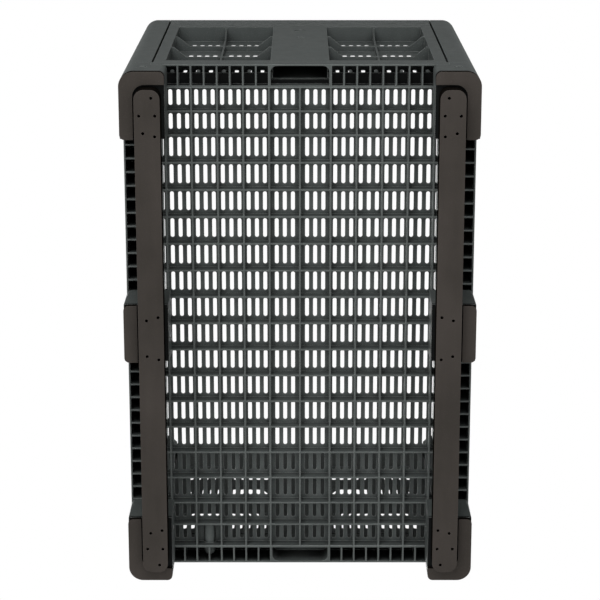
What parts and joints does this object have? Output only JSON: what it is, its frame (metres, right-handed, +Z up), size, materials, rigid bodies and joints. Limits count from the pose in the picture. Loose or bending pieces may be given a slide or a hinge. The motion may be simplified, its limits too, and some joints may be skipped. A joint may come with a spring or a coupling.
{
  "type": "collapsible pallet box",
  "caption": "Pallet-size collapsible storage crate: perforated deck on legs and runner skids, ribbed walls folding inward on rods between plug-in corner posts.",
  "frame": {"origin": "centre of the footprint, on the ground plane under the runners", "axes": "+Z up, Y along the length with the front end wall at -Y, +X to the right seen from the front"},
  "size_m": [0.8, 1.2, 0.886],
  "materials": {
    "grey_plastic": "moulded polyethylene, fine satin grain",
    "brown_plastic": "recycled brown-black polyethylene, matte",
    "black_plastic": "smooth matte",
    "zinc_steel": "zinc plated"
  },
  "bodies": {
    "base": {"deck": "grey_plastic", "sill_front": "grey_plastic", "sill_rear": "grey_plastic", "sill_left": "grey_plastic", "sill_right": "grey_plastic", "leg_front_left": "grey_plastic", "leg_front_right": "grey_plastic", "leg_middle_left": "grey_plastic", "leg_middle_right": "grey_plastic", "leg_rear_left": "grey_plastic", "leg_rear_right": "grey_plastic", "pad_front_left": "brown_plastic", "pad_front_right": "brown_plastic", "pad_middle_left": "brown_plastic", "pad_middle_right": "brown_plastic", "pad_rear_left": "brown_plastic", "pad_rear_right": "brown_plastic", "runner_left": "brown_plastic", "runner_right": "brown_plastic", "runner_screws_left": "zinc_steel", "runner_screws_right": "zinc_steel", "hinge_rod_front": "zinc_steel", "hinge_rod_rear": "zinc_steel", "hinge_rod_left": "zinc_steel", "hinge_rod_right": "zinc_steel"},
    "wall_front": {"wall_front": "grey_plastic"},
    "wall_rear": {"wall_rear": "grey_plastic"},
    "wall_left": {"wall_left": "grey_plastic"},
    "wall_right": {"wall_right": "grey_plastic"},
    "post_front_left": {"post_front_left": "grey_plastic"},
    "post_front_right": {"post_front_right": "grey_plastic"},
    "post_rear_left": {"post_rear_left": "grey_plastic"},
    "post_rear_right": {"post_rear_right": "grey_plastic"},
    "latch_front_left": {"latch_front_left": "black_plastic"},
    "latch_front_right": {"latch_front_right": "black_plastic"},
    "latch_rear_left": {"latch_rear_left": "black_plastic"},
    "latch_rear_right": {"latch_rear_right": "black_plastic"},
    "latch_left_front": {"latch_left_front": "black_plastic"},
    "latch_left_rear": {"latch_left_rear": "black_plastic"},
    "latch_right_front": {"latch_right_front": "black_plastic"},
    "latch_right_rear": {"latch_right_rear": "black_plastic"}
  },
  "joints": [
    {"name": "front_wall_fold", "type": "hinge", "parent": "base", "child": "wall_front", "pos_m": [0, -0.567, 0.1852], "axis": [-1, 0, 0], "range_deg": [0, 90]},
    {"name": "rear_wall_fold", "type": "hinge", "parent": "base", "child": "wall_rear", "pos_m": [0, 0.567, 0.2264], "axis": [1, 0, 0], "range_deg": [0, 90]},
    {"name": "left_wall_fold", "type": "hinge", "parent": "base", "child": "wall_left", "pos_m": [-0.367, 0, 0.2676], "axis": [0, 1, 0], "range_deg": [0, 90]},
    {"name": "right_wall_fold", "type": "hinge", "parent": "base", "child": "wall_right", "pos_m": [0.367, 0, 0.3088], "axis": [0, -1, 0], "range_deg": [0, 90]},
    {"name": "post_lift_front_left", "type": "slide", "parent": "base", "child": "post_front_left", "axis": [0, 0, 1], "range_m": [0, 0.065]},
    {"name": "post_lift_front_right", "type": "slide", "parent": "base", "child": "post_front_right", "axis": [0, 0, 1], "range_m": [0, 0.065]},
    {"name": "post_lift_rear_left", "type": "slide", "parent": "base", "child": "post_rear_left", "axis": [0, 0, 1], "range_m": [0, 0.065]},
    {"name": "post_lift_rear_right", "type": "slide", "parent": "base", "child": "post_rear_right", "axis": [0, 0, 1], "range_m": [0, 0.065]},
    {"name": "latch_slide_front_left", "type": "slide", "parent": "wall_front", "child": "latch_front_left", "axis": [-1, 0, 0], "range_m": [0, 0.018]},
    {"name": "latch_slide_front_right", "type": "slide", "parent": "wall_front", "child": "latch_front_right", "axis": [1, 0, 0], "range_m": [0, 0.018]},
    {"name": "latch_slide_rear_left", "type": "slide", "parent": "wall_rear", "child": "latch_rear_left", "axis": [-1, 0, 0], "range_m": [0, 0.018]},
    {"name": "latch_slide_rear_right", "type": "slide", "parent": "wall_rear", "child": "latch_rear_right", "axis": [1, 0, 0], "range_m": [0, 0.018]},
    {"name": "latch_slide_left_front", "type": "slide", "parent": "wall_left", "child": "latch_left_front", "axis": [0, -1, 0], "range_m": [0, 0.018]},
    {"name": "latch_slide_left_rear", "type": "slide", "parent": "wall_left", "child": "latch_left_rear", "axis": [0, 1, 0], "range_m": [0, 0.018]},
    {"name": "latch_slide_right_front", "type": "slide", "parent": "wall_right", "child": "latch_right_front", "axis": [0, -1, 0], "range_m": [0, 0.018]},
    {"name": "latch_slide_right_rear", "type": "slide", "parent": "wall_right", "child": "latch_right_rear", "axis": [0, 1, 0], "range_m": [0, 0.018]}
  ]
}
